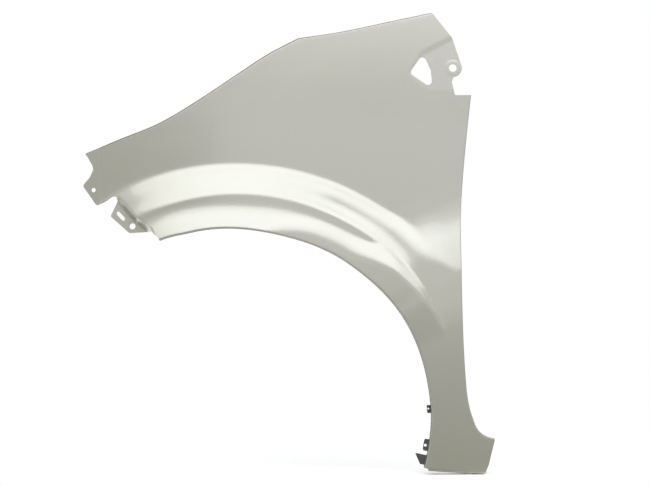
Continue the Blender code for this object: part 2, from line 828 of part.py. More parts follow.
def fold_foot(bm, skin, line, radius, reach):
    """An edge of the foot turned straight inboard."""
    verts = edge_verts(bm, line)
    normals = edge_normals(verts)
    sections = []
    for vert, normal, fade in zip(verts, normals, end_fade(verts, FLANGE_CHAMFER)):
        start = skin.slope_deg((vert.co.x, vert.co.z), normal)
        sections.append(section(start, [(radius, INBOARD_DEG, BEND_SIDES), (reach * fade,)]))
    return sweep(bm, verts, normals, sections)


def x_of(vert):
    return vert.co.x


def z_of(vert):
    return vert.co.z


def strip_place(inner, outer, measure, value, share=0.5):
    """The place on a strip, and its normal, where a measure of the strip's points has a value."""
    for a, b, c, d in zip(inner, inner[1:], outer, outer[1:]):
        start, end = measure(a), measure(b)
        if min(start, end) <= value <= max(start, end) and start != end:
            t = (value - start) / (end - start)
            near = a.co.lerp(b.co, t)
            far = c.co.lerp(d.co, t)
            return near.lerp(far, share), (b.co - a.co).cross(far - near).normalized()
    raise ValueError("the strip does not reach that place")


def drill(cutter, place, normal, radius):
    """One cylinder of the cutter, across the sheet at a place."""
    turn = normal.to_track_quat("Z", "Y").to_matrix().to_4x4()
    turn.translation = place
    bmesh.ops.create_cone(
        cutter,
        cap_ends=True,
        segments=HOLE_SIDES,
        radius1=radius,
        radius2=radius,
        depth=DRILL_LENGTH,
        matrix=turn,
    )


def drill_flanges(cutter, lip, bonnet, door_tab, foot):
    """The bolt holes of every folded edge."""
    for x in BONNET_HOLES_X:
        place, normal = strip_place(bonnet[-2], bonnet[-1], x_of, x * UNIT, HOLE_SHARE)
        drill(cutter, place, normal, BONNET_HOLE)
    for x in FOOT_HOLES_X:
        place, normal = strip_place(foot[-2], foot[-1], x_of, x * UNIT, HOLE_SHARE)
        drill(cutter, place, normal, FOOT_HOLE)
    place, normal = strip_place(door_tab[0], door_tab[-1], z_of, DOOR_TAB_Z)
    drill(cutter, place, normal, DOOR_HOLE)
    for deg in LINER_HOLES_DEG:
        place, normal = strip_place(lip[-2], lip[-1], deg_of, deg)
        drill(cutter, place, normal, LINER_HOLE)
    for middle, _, reach, hole in (UPPER_LUG, LOWER_LUG):
        place, _ = strip_place(lip[-2], lip[-1], deg_of, middle, 1)
        place.x -= LUG_RADIUS + reach / 2
        drill(cutter, place, Vector((0, 1, 0)), hole)


# Objects


def paint():
    material = bpy.data.materials.new("silver_paint")
    material.use_nodes = True
    shader = material.node_tree.nodes["Principled BSDF"]
    shader.inputs["Base Color"].default_value = PAINT
    shader.inputs["Metallic"].default_value = PAINT_METALLIC
    shader.inputs["Roughness"].default_value = PAINT_ROUGHNESS
    return material


def make_object(name, bm, collection):
    mesh = bpy.data.meshes.new(name)
    bm.to_mesh(mesh)
    bm.free()
    made = bpy.data.objects.new(name, mesh)
    collection.objects.link(made)
    return made


def face_out(bm):
    """All faces turned the same way, with the skin facing outboard."""
    bmesh.ops.recalc_face_normals(bm, faces=bm.faces)
    if sum(face.normal.y * face.calc_area() for face in bm.faces) > 0:
        bmesh.ops.reverse_faces(bm, faces=bm.faces)


def new_collection(name):
    made = bpy.data.collections.new(name)
    bpy.context.scene.collection.children.link(made)
    return made


def main():
    for old in list(bpy.data.objects):
        bpy.data.objects.remove(old)

    skin = Skin()
    edges = edge_lines()
    sheet = bmesh.new()
    draw_skin(sheet, skin, edges)
    lip = fold_lip(sheet, skin, edges["lip"])
    bonnet = fold_bonnet(sheet, skin, edges["bonnet"])
    door_tab = fold_door(sheet, skin, edges["door"])
    fold_foot(sheet, skin, edges["back"], DOOR_RADIUS, FOOT_BACK_FLANGE)
    foot = fold_foot(sheet, skin, edges["bottom"], FOOT_RADIUS, FOOT_FLANGE)

    cutter = bmesh.new()
    drill_flanges(cutter, lip, bonnet, door_tab, foot)
    face_out(sheet)

    seat, up = strip_place(bonnet[-2], bonnet[-1], x_of, BONNET_SEAT_X * UNIT, HOLE_SHARE)
    origin = seat - up * math.copysign(SHEET, up.z)
    for bm in (sheet, cutter):
        bmesh.ops.translate(bm, verts=bm.verts, vec=-origin)

    panel = make_object("fender_panel", sheet, new_collection("front_fender"))
    panel.data.materials.append(paint())
    panel.data.shade_smooth()
    panel.data.set_sharp_from_angle(angle=math.radians(SHARP_DEG))
    tool = make_object("hole_cutter", cutter, new_collection("cutters"))
    tool.hide_render = True
    tool.display_type = "WIRE"

    wall = panel.modifiers.new("sheet", "SOLIDIFY")
    wall.thickness = SHEET
    wall.offset = -1
    wall.use_even_offset = True
    holes = panel.modifiers.new("bolt_holes", "BOOLEAN")
    holes.operation = "DIFFERENCE"
    holes.solver = "EXACT"
    holes.object = tool


main()
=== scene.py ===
"""Looks of the left front fender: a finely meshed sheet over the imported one, its paint, and a pale studio.

The panel is drawn by the same formulas as the solid, from the wheel centre, and moved by ORIGIN at the end.
Outline tables are in millimetres from the wheel centre, x to the rear and z up; depth is measured inboard.
Entries of the tables named SHAPE and AT start with degrees round the arch; the shoulder's slope goes by x.
"""

import math

import bmesh
import bpy
import numpy as np
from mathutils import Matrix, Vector
from mathutils.geometry import delaunay_2d_cdt


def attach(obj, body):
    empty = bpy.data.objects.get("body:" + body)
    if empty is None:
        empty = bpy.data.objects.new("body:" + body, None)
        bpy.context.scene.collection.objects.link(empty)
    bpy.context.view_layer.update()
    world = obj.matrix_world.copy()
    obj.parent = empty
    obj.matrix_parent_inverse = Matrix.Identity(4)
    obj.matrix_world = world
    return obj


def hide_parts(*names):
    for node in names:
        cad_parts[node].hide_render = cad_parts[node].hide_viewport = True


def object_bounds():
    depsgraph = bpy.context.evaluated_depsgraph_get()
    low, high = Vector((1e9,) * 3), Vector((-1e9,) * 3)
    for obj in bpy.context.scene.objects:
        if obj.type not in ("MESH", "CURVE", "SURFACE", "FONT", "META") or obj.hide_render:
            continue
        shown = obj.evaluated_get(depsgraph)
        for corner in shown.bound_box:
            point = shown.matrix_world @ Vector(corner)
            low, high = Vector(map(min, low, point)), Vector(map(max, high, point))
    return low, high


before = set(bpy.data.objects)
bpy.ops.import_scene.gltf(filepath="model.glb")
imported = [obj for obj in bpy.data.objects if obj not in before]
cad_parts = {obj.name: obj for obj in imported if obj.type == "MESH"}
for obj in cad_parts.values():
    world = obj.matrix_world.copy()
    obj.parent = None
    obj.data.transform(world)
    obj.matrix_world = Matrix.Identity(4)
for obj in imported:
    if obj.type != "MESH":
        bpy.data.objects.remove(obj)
cad_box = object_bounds()

MM = 0.001
ORIGIN = Vector((205.167, 131.693, 678.785)) * MM

# Mesh
SHEET = 0.8 * MM
LIP_STEP_DEG = 0.6
EDGE_STEP = 4 * MM
BAND_STEP = 2.6 * MM
BAND_GAP = 0.6 * BAND_STEP
RING_STRETCH = 1.6
RINGS_FROM = -6 * MM
RINGS_TO = 190 * MM
FIELD_STEP = 5.5 * MM
FIELD_GAP = 0.55 * FIELD_STEP
CLOSE_STEP = 2 * MM
CLOSE_GAP = 0.6 * CLOSE_STEP
CLOSE_TO = 6 * MM
ROW_SHARE = math.sqrt(3) / 2
MERGE_IN_MM = 0.001
HOLE_SIDES = 40
CORNER_SIDES = 8
CORNER_MOST = 0.45
FOLD_SIDES = 6
ROLL_SIDES = 8
CREST_SIDES = 7
LUG_SIDES = 4
SHARP_DEG = 38
CREASE = 1.6 * MM
SLOPE_BACK = 3 * MM
SAME = 0.01 * MM
DEG_SLACK = 0.1
CHUNK = 4000

# Crown
SIDE_CREST_Z = 100 * MM
SIDE_RADIUS_ABOVE = 2600 * MM
SIDE_RADIUS_BELOW = 5000 * MM
PLAN_CREST_X = 40 * MM
PLAN_RADIUS_FRONT = 700 * MM
PLAN_RADIUS_REAR = 5500 * MM

# Wheel arch
ARCH_RADIUS = 345 * MM
ARCH_FOOT_DEG = -13.2
ARCH_FRONT_DEG = 112.8
RINGS_DEG = (ARCH_FOOT_DEG - 6, ARCH_FRONT_DEG + 14)
ARCH_SHAPE = ((-13, -4.5), (5, -0.5), (32, 3.5), (55, -0.5), (75, -3.5), (103, 2), (113, 6))

# The lip falls from its crest outwards to a valley, and the flare rises from the step behind that to its top
CREST_SHAPE = (
    (20, 53), (24, 53.5), (28, 54), (33, 52.5), (36, 50), (40, 46.5), (44, 44.5), (47, 39),
    (50, 31), (55, 22), (60, 17), (70, 12), (80, -6), (90, -40), (115, -60),
)
VALLEY_SHAPE = (
    (20, 58.5), (28, 58.5), (33, 60.5), (36, 64), (40, 64.5), (47, 64), (50, 63), (52, 57),
    (55, 50), (60, 46), (70, 43), (80, 40), (90, 38.5), (115, 45),
)
LIP_SHAPE = (
    (20, 0), (24, 0.3), (28, 2.6), (33, 7), (36, 9.2), (40, 12.6), (44, 15.2), (47, 16.2),
    (50, 16.5), (55, 15.4), (60, 14.2), (70, 15), (80, 21.5), (90, 37), (115, 49),
)
STEP_OUT = 61 * MM
FLARE_SHAPE = ((20, 124), (34, 124), (36, 119), (40, 113), (50, 117), (62, 112), (99, 112), (115, 117.5))
CREST_BEND_AT = ((30, 2.5), (40, 5), (60, 14))
VALLEY_BEND_AT = ((36, 2), (50, 3), (60, 6), (85, 13))
FLARE_HEIGHT = 30 * MM
FLARE_BEND = 7 * MM
FOOT_BEND = 6 * MM

# The flare's slope is hollowed, the rear leg swells outboard, and a shoulder falls away behind the flare
HOLLOW_AT = ((45, 0.085), (54, 0.08), (66, 0.1), (74, 0.05), (85, 0.03))
SWELL_AT = ((-50, 0), (24, 13), (50, 0))
SHOULDER_LINE = ((314, 352), (388, 386))
SHOULDER_SLOPE_AT = ((320, 0.48), (390, 0.35))
SHOULDER_TOP_BEND = 42 * MM
SHOULDER_FOOT_BEND = 4 * MM

# Outline
TIP = (-278, 480)
BONNET_FRONT = (TIP, (-214, 505), (-140, 534), (-68, 576), (4, 624), (54, 657), (108, 686))
BONNET_REAR = ((108, 686), (183, 697.5), (273, 717), (350, 734))
PILLAR_KNEE = (385.5, 687.5)
NOTCH = ((384, 607), (389.5, 583))
DOOR_EDGE = (
    (418.5, 583), (409, 502), (402, 430), (397, 358), (396.6, 290), (397.5, 217), (400.5, 129), (405.5, 59),
    (411, 27), (416, 11), (422.5, -6), (431, -16.5), (443, -23), (455.5, -26.3),
)
FOOT_BACK = ((455.5, -29), (445, -72.5), (439, -88))
FOOT_BOTTOM = ((436, -90), (338, -83.5))
LAMP_EDGE = ((-282.5, 421.5), (-269.5, 436.5), (-263, 450), (-264.3, 457), TIP)
TAB_CORNER = 4 * MM
PILLAR_CORNER = 6 * MM
NOTCH_CORNER = 3 * MM
LOWER_TAB = ((114.0, 25), (120.0, 42.5), (122.0, 86), (118.8, 103), (118.5, 112))
UPPER_TAB = ((119.4, -2), (121.4, -3), (123.6, 0))

# Folds in front, the recess at the pillar, and the holes
LAMP_FOLD = ((-249, 500), (-242, 375))
LAMP_SET = 3 * MM
LAMP_JOGGLE = 9 * MM
BUMPER_FOLD = ((-222, 411), (-179, 364), (-161, 350), (-151, 343.5), (-145, 329))
BUMPER_PLANE = 80 * MM
BUMPER_PLANE_AT = (-200, 360)
BUMPER_PLANE_SLOPE = (-0.2, 0.2)
BUMPER_JOGGLE = 9 * MM
BUMPER_UNDER = 3 * MM
BUMPER_FADE = 10 * MM
AHEAD_OF_ALL = -400
RECESS = ((329, 663), (303, 623), (337, 588), (440, 581), (470, 600), (470, 737))
RECESS_CORNER = 9 * MM
RECESS_DEPTH = 1.1 * MM
RECESS_TILT = 0.02
RECESS_STEP = 8 * MM
RECESS_AT = (360, 635)
GARNISH_OPENING = ((333, 659), (308, 623), (349, 594), (346.5, 628))
GARNISH_CORNER = 7 * MM
EAR_AT = (386, 632.5)
EAR_RADIUS = 16.5 * MM
EAR_ARC_DEG = (12, -85)
EAR_PAD = 12 * MM
EAR_RISE = 0.3 * MM
EAR_STEP = 3 * MM
EAR_HOLE = 7 * MM
UPPER_TAB_HOLE = (-262, 413.5)
UPPER_TAB_HOLE_RADIUS = 4 * MM
LOWER_TAB_HOLE = (-188, 347.5)
LOWER_TAB_HOLE_RADIUS = 5.5 * MM
LOWER_TAB_SLOT = ((-214.5, 371), (-205, 361))
LOWER_TAB_SLOT_RADIUS = 3.2 * MM

# Folded edges
LIP_RADIUS = 2 * MM
LIP_FLANGE = 17 * MM
LIP_FLANGE_DEG = 87
DOOR_RADIUS = 2 * MM
DOOR_FLANGE = 13 * MM
DOOR_FLANGE_DEG = 94
DOOR_TAB_Z = 340 * MM
DOOR_TAB_LENGTH = 44 * MM
DOOR_TAB_REACH = 18 * MM
DOOR_TAB_END = 0.15
FOOT_BACK_FLANGE = 8 * MM
FOOT_RADIUS = 4 * MM
FOOT_FLANGE = 18 * MM
ROLL_RADIUS_END = 1.5 * MM
ROLL_RADIUS_FRONT = 3.5 * MM
ROLL_RADIUS_REAR = 2.5 * MM
ROLL_DEG = 74
ROLL_RISE = 0.75
CREST_RADIUS = 3 * MM
BONNET_WALL = 17 * MM
BONNET_WALL_DEG = 172
BONNET_FLANGE = 26 * MM
BONNET_FLANGE_X = (-236 * MM, 338 * MM)
FLANGE_CHAMFER = 12 * MM
FLANGE_END = 0.3
FADE_STEP = 20 * MM

# Lugs are (degrees round the arch, half length, reach, hole radius)
LUG_RADIUS = 1.5 * MM
UPPER_LUG = (4.3, 9.5 * MM, 5 * MM, 1.6 * MM)
LOWER_LUG = (-6.6, 12 * MM, 7 * MM, 2.4 * MM)
LUG_CORNER = 0.6
LUG_SPAN = 1.02
LUG_END = 0.25
SILL_BRACKET_DEG = (-12.7, -9.5)
SILL_BRACKET_REACH = (15 * MM, 3 * MM)
SILL_BRACKET_TIP = 3 * MM
SILL_BRACKET_TIP_DEG = -55

# Bolt holes, as radii and places
BONNET_HOLE = 4.5 * MM
BONNET_HOLES_X = (-185, -90, 20, 232, 312)
FOOT_HOLE = 4 * MM
FOOT_HOLES_X = (368, 412)
DOOR_HOLE = 4.5 * MM
LINER_HOLE = 3.5 * MM
LINER_HOLES_DEG = (101, 74, 47, 21)
HOLE_SHARE = 0.55
DRILL_LENGTH = 16 * MM

# Strips of each fold that the paint reaches, and where the primed outside stands among the materials; past
# those strips the dark primer is painted shade on the folds
LIP_PAINTED = 5
ROLL_PAINTED = 2
EDGE_PAINTED = 3
PRIMED_SHADE = 3

# Paint
PAINT_COOL = (0.508, 0.507, 0.456, 1)
PAINT_WARM = (0.52, 0.516, 0.454, 1)
# The dusty colour darkens and yellows the paint towards the foot and the front: dust patches over painted
# shade where less light falls
PAINT_DUSTY_AND_SHADED = (0.48, 0.477, 0.37, 1)
FLAKE_DARK = (0.965, 0.965, 0.965, 1)
FLAKE_BRIGHT = (1.035, 1.035, 1.035, 1)
PAINT_METALLIC = 0.8
COAT_ROUGHNESS = 0.06
# How far the film reaches up from the foot and back from the front: dust, and painted shade where the light
# falls off
DUST_AND_SHADE_Z = (-0.35, -0.77)
DUST_AND_SHADE_AT_FOOT = 0.75
DUST_AND_SHADE_X = (-0.2, -0.48)
DUST_AND_SHADE_IN_FRONT = 0.5
PEEL_BUMP = (0.05, 0.0006)

# Primer, cut edges and floor
# The primer's colours also stand on the outside of the folds past the paint, as painted shade
PRIMER_AND_SHADE_DARK = (0.03, 0.031, 0.028, 1)
PRIMER_AND_SHADE_LIGHT = (0.055, 0.056, 0.05, 1)
GRAIN_BUMP = (0.12, 0.0005)
STEEL_DARK = (0.1, 0.1, 0.095, 1)
STEEL_LIGHT = (0.26, 0.26, 0.25, 1)
STEEL_METALLIC = 0.5
PAPER_DARK = (0.925, 0.925, 0.92, 1)
PAPER_LIGHT = (0.94, 0.94, 0.935, 1)
PAPER_ROUGHNESS = 0.9
PAPER_SPECULAR = 0.2

# Noises, as (scale, detail, lowest, highest)
NOISE_ROUGHNESS = 0.55
NOISE_SPAN = (0.3, 0.7)
HUE = (5, 3, 0, 1)
FLAKE = (900, 2, 0, 1)
# Patches that break up the dust and the painted shade towards the foot and the front
DUST_AND_SHADE_PATCHES = (14, 4, 0.55, 1.2)
WIPES = (6, 5, 0.335, 0.385)
WIPE_STRETCH = (1, 1, 5)
PEEL = (240, 1, 0, 1)
DIP = (22, 4, 0, 1)
VEIL = (9, 3, 0, 0.35)
SPECKS = (650, 2, 0.2, 1.2)
GRAIN = (400, 2, 0, 1)
DRYNESS = (30, 3, 0.42, 0.6)
STEEL_SPOTS = (60, 4, 0, 1)
STEEL_ROUGHNESS = (120, 3, 0.4, 0.6)
PAPER = (60, 4, 0, 1)

# Studio: lamps are (name, place, aim, size, power, colour), in metres and watts
WHITE = (1, 1, 1, 1)
FLOOR_HALF = 1.4
FLOOR_Y = (-0.128, 0.7)
FLOOR_GLOW = 0.1
WORLD_FRONT = 0.62
WORLD_LOW = 0.66
WORLD_Y = (-0.3, 0.5)
WORLD_Z = (-0.5, 0)
LAMPS = (
    ("overhead", (0.2, -1.6, 2.2), (0.2, -1.6, 0), (6, 3.05), 86, (0.98, 0.995, 1.04)),
    ("front", (0.75, -4.8, 0.8), (0.75, 0, 0.8), (4.8, 2.1), 12.6, (1, 1, 1)),
    ("side", (3.2, -1.5, 0.8), (0.15, -0.14, -0.35), (1.3, 1.2), 1.8, (1, 1, 1)),
)
CAMERA_PLACE = Vector((156.3, -4000, 317.8)) * MM
CAMERA_LENS = 126.2
CAMERA_SENSOR = 36
CAMERA_SEES_TO = 50


def metres(points):
    return np.array(points, float) * MM


def polar(radius, deg):
    turn = np.radians(deg)
    return np.stack([radius * np.cos(turn), radius * np.sin(turn)], axis=-1)


def ease(t):
    t = np.clip(t, 0, 1)
    return t * t * (3 - 2 * t)


def hinge(u, width):
    """0 before the bend and u after it, with a round bend of that half width between."""
    return np.where(u >= width, u, np.clip(u + width, 0, None) ** 2 / (4 * width))


def ramp(gap, width):
    """A step from 0 to 1 over a width, rounded at its foot and its top."""
    return (hinge(gap, CREASE) - hinge(gap - width, CREASE)) / width


def between(table, at):
    """Values read off a short table of (place, value), eased from one entry to the next."""
    places = np.array([place for place, _ in table], float)
    values = np.array([value for _, value in table], float)
    at = np.clip(at, places[0], places[-1])
    k = np.clip(np.searchsorted(places, at) - 1, 0, len(places) - 2)
    t = ease((at - places[k]) / (places[k + 1] - places[k]))
    return values[k] + (values[k + 1] - values[k]) * t


# Lines and loops, as arrays of points


def spline(points, step):
    """A smooth line through the points, with a point about every step."""
    p = np.array([points[0], *points, points[-1]], float)
    line = [p[1]]
    for a, b, c, d in zip(p, p[1:], p[2:], p[3:]):
        count = max(1, round(math.dist(b, c) / step))
        pull, bend, twist = c - a, 2 * a - 5 * b + 4 * c - d, 3 * b - a - 3 * c + d
        for k in range(1, count + 1):
            t = k / count
            line.append(0.5 * (2 * b + pull * t + bend * t**2 + twist * t**3))
    return np.array(line)


def arc(centre, radius, start_deg, end_deg, sides):
    return np.array(centre) + polar(radius, np.linspace(start_deg, end_deg, sides + 1))


def circle(centre, radius):
    return arc(centre, radius, 0, 360, HOLE_SIDES)[:-1]


def slot(ends, radius):
    """A long hole between two centres."""
    run = ends[1] - ends[0]
    deg = math.degrees(math.atan2(run[1], run[0]))
    half = HOLE_SIDES // 2
    far = arc(ends[1], radius, deg - 90, deg + 90, half)
    near = arc(ends[0], radius, deg + 90, deg + 270, half)
    return np.concatenate([far, near])


def rounded(corners, radius, is_loop=True):
    """The corners joined by straight lines, each corner cut back to an arc."""
    line = []
    count = len(corners)
    for k, corner in enumerate(corners):
        if not is_loop and k in (0, count - 1):
            line.append(tuple(corner))
            continue
        here = Vector(corner)
        back = Vector(corners[k - 1]) - here
        on = Vector(corners[(k + 1) % count]) - here
        half = back.angle(on) / 2
        cut = min(radius / math.tan(half), CORNER_MOST * back.length, CORNER_MOST * on.length)
        centre = here + (back.normalized() + on.normalized()).normalized() * (cut / math.cos(half))
        start = here + back.normalized() * cut - centre
        end = here + on.normalized() * cut - centre
        for i in range(CORNER_SIDES + 1):
            line.append(tuple(centre + start.slerp(end, i / CORNER_SIDES) * start.length))
    return np.array(line)


def filled(line, step):
    """The line with points added so that none of its stretches is longer than the step."""
    out = [line[:1]]
    for a, b in zip(line, line[1:]):
        count = max(1, math.ceil(math.dist(a, b) / step))
        out.append(a + (b - a) * (np.arange(1, count + 1) / count)[:, None])
    return np.concatenate(out)


def outward(line):
    """Unit normals at the points of a line, on the left of its run."""
    run = np.concatenate([line[1:2] - line[:1], line[2:] - line[:-2], line[-1:] - line[-2:-1]])
    run /= np.maximum(np.hypot(*run.T), SAME * SAME)[:, None]
    return np.stack([-run[:, 1], run[:, 0]], axis=1)


def shifted(line, amount):
    """The line moved to the right of its run."""
    return line - outward(line) * np.reshape(amount, (-1, 1))


def closed(loop):
    return np.concatenate([loop, loop[:1]])


def nearest(points, line):
    """How far each point lies from a line, and how far along the line its nearest place is."""
    start, step = line[:-1], np.diff(line, axis=0)
    length = np.maximum(np.hypot(*step.T), SAME * SAME)
    before = np.concatenate([[0], np.cumsum(length)[:-1]])
    gaps, runs = [], []
    for first in range(0, len(points), CHUNK):
        p = points[first : first + CHUNK, None, :]
        t = np.clip(((p - start) * step).sum(-1) / length**2, 0, 1)
        gap = np.linalg.norm(p - start - t[..., None] * step, axis=-1)
        k = gap.argmin(axis=1)
        rows = np.arange(len(k))
        gaps.append(gap[rows, k])
        runs.append(before[k] + t[rows, k] * length[k])
    return np.concatenate(gaps), np.concatenate(runs)


def gap_to_any(points, lines, reach):
    """How far each point lies from the nearest of some lines, where that is less than the reach."""
    gaps = np.full(len(points), float(reach))
    for line in lines:
        low, high = line.min(axis=0) - reach, line.max(axis=0) + reach
        close = np.where(((points > low) & (points < high)).all(axis=1))[0]
        if len(close):
            gaps[close] = np.minimum(gaps[close], nearest(points[close], line)[0])
    return gaps


def inside(points, loop):
    """Which points lie inside a loop, by how often a level line from them crosses it."""
    a, b = loop, np.roll(loop, -1, axis=0)
    rise = np.where(b[:, 1] == a[:, 1], 1, b[:, 1] - a[:, 1])
    found = []
    for first in range(0, len(points), CHUNK):
        x, z = points[first : first + CHUNK, None, 0], points[first : first + CHUNK, None, 1]
        spans = (a[:, 1] > z) != (b[:, 1] > z)
        crossed = spans & (x < a[:, 0] + (b[:, 0] - a[:, 0]) * (z - a[:, 1]) / rise)
        found.append(crossed.sum(1) % 2 == 1)
    return np.concatenate(found)


# Rings of the wheel arch


def lip_radius(deg):
    return ARCH_RADIUS + between(ARCH_SHAPE, deg) * MM


def drawn(table, deg):
    """A value read off the smooth line through a few places, in degrees round the arch and millimetres."""
    return np.interp(deg, *spline(table, 1).T) * MM


def flare_radius(deg):
    return ARCH_RADIUS + drawn(FLARE_SHAPE, deg)


# Depth of the drawn sheet


def swell(deg):
    """How far the rear leg stands out beyond the flare's own height."""
    return between(SWELL_AT, deg) * MM


def shoulder(points):
    """How far inboard the skin above the flare lies; it comes out below a line that rises to the rear."""
    x, z = points.T
    (x0, z0), (x1, z1) = metres(SHOULDER_LINE)
    below = ((x1 - x0) * (z0 - z) + (z1 - z0) * (x - x0)) / math.hypot(x1 - x0, z1 - z0)
    slope = between(SHOULDER_SLOPE_AT, x / MM)
    most = FLARE_HEIGHT + swell(np.degrees(np.arctan2(z, x)))
    return hinge(most - slope * hinge(below, SHOULDER_TOP_BEND), slope * SHOULDER_FOOT_BEND)


def body_side(points):
    """The curved body side with the flare of the wheel arch."""
    x, z = points.T
    side = np.where(z > SIDE_CREST_Z, SIDE_RADIUS_ABOVE, SIDE_RADIUS_BELOW)
    plan = np.where(x < PLAN_CREST_X, PLAN_RADIUS_FRONT, PLAN_RADIUS_REAR)
    crown = (z - SIDE_CREST_Z) ** 2 / (2 * side) + (x - PLAN_CREST_X) ** 2 / (2 * plan)
    out, deg = np.hypot(x, z) - ARCH_RADIUS, np.degrees(np.arctan2(z, x))
    valley, crest, top = (drawn(shape, deg) for shape in (VALLEY_SHAPE, CREST_SHAPE, FLARE_SHAPE))
    lip = hinge(valley - out, between(VALLEY_BEND_AT, deg) * MM)
    lip -= hinge(crest - out, between(CREST_BEND_AT, deg) * MM)
    lip *= drawn(LIP_SHAPE, deg) / (valley - crest)
    rise = (hinge(out - STEP_OUT, FOOT_BEND) - hinge(out - top, FLARE_BEND)) / (top - STEP_OUT)
    rise += between(HOLLOW_AT, deg) * np.sin(2 * math.pi * np.clip(rise, 0, 1))
    at_top = shoulder(polar(ARCH_RADIUS + top, deg))
    beyond = shoulder(polar(ARCH_RADIUS + top + hinge(out - top, FLARE_BEND), deg))
    return crown - swell(deg) + at_top * rise + beyond - at_top - lip


def recess_plane(points):
    """The plane that touches the body side at the middle of the recess, moved inboard."""
    cx, cz = metres(RECESS_AT)
    slope_x = (cx - PLAN_CREST_X) / PLAN_RADIUS_REAR
    slope_z = (cz - SIDE_CREST_Z) / SIDE_RADIUS_ABOVE + RECESS_TILT
    middle = body_side(metres([RECESS_AT]))[0] + RECESS_DEPTH
    return middle + slope_x * (points[:, 0] - cx) + slope_z * (points[:, 1] - cz)


def bumper_plane(points):
    """The flat seat that the lower bumper tab is folded to."""
    (x0, z0), (slope_x, slope_z) = metres(BUMPER_PLANE_AT), BUMPER_PLANE_SLOPE
    return BUMPER_PLANE + slope_x * (points[:, 0] - x0) + slope_z * (points[:, 1] - z0)


RECESS_LOOP = rounded(metres(RECESS), RECESS_CORNER)


def past(points, fold):
    """How far points lie ahead of a fold line; negative behind it."""
    region = np.array([*fold, (AHEAD_OF_ALL, fold[-1][1]), (AHEAD_OF_ALL, fold[0][1])], float) * MM
    gap, _ = nearest(points, metres(fold))
    return np.where(inside(points, region), gap, -gap)


def depth(points):
    """How far inboard the sheet lies, with its folds in front, the recess and the raised pad of the ear."""
    points = np.asarray(points, float).reshape(-1, 2)
    x, z = points.T
    outside = np.hypot(x, z) - flare_radius(np.degrees(np.arctan2(z, x)))
    y = body_side(points)
    y = y + LAMP_SET * ramp(past(points, LAMP_FOLD), LAMP_JOGGLE) * (outside > -FLARE_BEND)
    under = ease((-BUMPER_UNDER - outside) / BUMPER_FADE)
    y = y + (bumper_plane(points) - y) * ramp(past(points, BUMPER_FOLD), BUMPER_JOGGLE) * under
    gap, _ = nearest(points, closed(RECESS_LOOP))
    recess = ramp(np.where(inside(points, RECESS_LOOP), gap, -gap), RECESS_STEP)
    y = y + (recess_plane(points) - y) * recess
    from_ear = np.linalg.norm(points - metres(EAR_AT), axis=1)
    return y - EAR_RISE * ramp(EAR_PAD + EAR_STEP - from_ear, EAR_STEP) * recess


def slope_degs(line, normals):
    """The heading of the skin as it reaches its edge: 0 in the design plane, 90 inboard."""
    drop = depth(line) - depth(line - normals * SLOPE_BACK)
    return np.degrees(np.arctan2(drop, SLOPE_BACK))


# Outline


def lip_line():
    degs = np.arange(ARCH_FOOT_DEG, ARCH_FRONT_DEG + LIP_STEP_DEG / 2, LIP_STEP_DEG)
    return polar(lip_radius(degs), degs)


def roll_radius(x):
    """The bonnet edge rolls over tightly in front and softly behind, and fades at both ends."""
    start, middle, end = TIP[0] * MM, BONNET_REAR[0][0] * MM, BONNET_REAR[-1][0] * MM
    wide = ease((x - middle) / (2 * FADE_STEP) + 0.5)
    size = ROLL_RADIUS_FRONT + (ROLL_RADIUS_REAR - ROLL_RADIUS_FRONT) * wide
    fade = np.minimum(ease((x - start) / (2 * FADE_STEP)), ease((end - x) / FADE_STEP))
    return ROLL_RADIUS_END + (size - ROLL_RADIUS_END) * fade


def edge_lines():
    """The edges that are folded, moved inwards by what their bends add."""
    front, rear = spline(metres(BONNET_FRONT), EDGE_STEP), spline(metres(BONNET_REAR), EDGE_STEP)
    bonnet = np.concatenate([front, rear[1:]])
    return {
        "bonnet": shifted(bonnet, ROLL_RISE * roll_radius(bonnet[:, 0])),
        "door": shifted(spline(metres(DOOR_EDGE), EDGE_STEP), DOOR_RADIUS),
        "back": shifted(filled(metres(FOOT_BACK), EDGE_STEP), DOOR_RADIUS),
        "bottom": shifted(filled(metres(FOOT_BOTTOM), EDGE_STEP), FOOT_RADIUS),
        "lip": shifted(lip_line(), LIP_RADIUS),
    }


def outline(edges):
    """The whole edge of the blank, clockwise from the foot of the arch lip."""
    lower = [polar(ARCH_RADIUS + out * MM, deg) for deg, out in LOWER_TAB]
    upper = [polar(flare_radius(deg) + out * MM, deg) for deg, out in UPPER_TAB]
    front = [edges["lip"][-1], *lower, *upper, *metres(LAMP_EDGE), edges["bonnet"][0]]
    ear = arc(metres(EAR_AT), EAR_RADIUS, *EAR_ARC_DEG, HOLE_SIDES // 2)
    pillar = [edges["bonnet"][-1], metres(PILLAR_KNEE), ear[0]]
    notch = [ear[-1], *metres(NOTCH), edges["door"][0]]
    lines = [
        edges["lip"],
        rounded(front, TAB_CORNER, False),
        edges["bonnet"],
        rounded(pillar, PILLAR_CORNER, False),
        ear,
        rounded(notch, NOTCH_CORNER, False),
        edges["door"],
        edges["back"],
        edges["bottom"],
    ]
    loop = filled(closed(np.concatenate(lines)), EDGE_STEP)
    apart = np.hypot(*np.diff(loop, axis=0).T) > SAME
    return loop[:-1][apart]


def pierced():
    """The openings that go through the skin itself."""
    return [
        rounded(metres(GARNISH_OPENING), GARNISH_CORNER),
        circle(metres(EAR_AT), EAR_HOLE),
        circle(metres(UPPER_TAB_HOLE), UPPER_TAB_HOLE_RADIUS),
        circle(metres(LOWER_TAB_HOLE), LOWER_TAB_HOLE_RADIUS),
        slot(metres(LOWER_TAB_SLOT), LOWER_TAB_SLOT_RADIUS),
    ]


def beside(line, width, turn=1):
    """Lines along a step, where its roundings begin, turn and end; it lies to the right, or left at -1."""
    places = (-CREASE, 0, CREASE, width - CREASE, width, width + CREASE)
    return [shifted(filled(line, EDGE_STEP / 2), turn * at) for at in places]


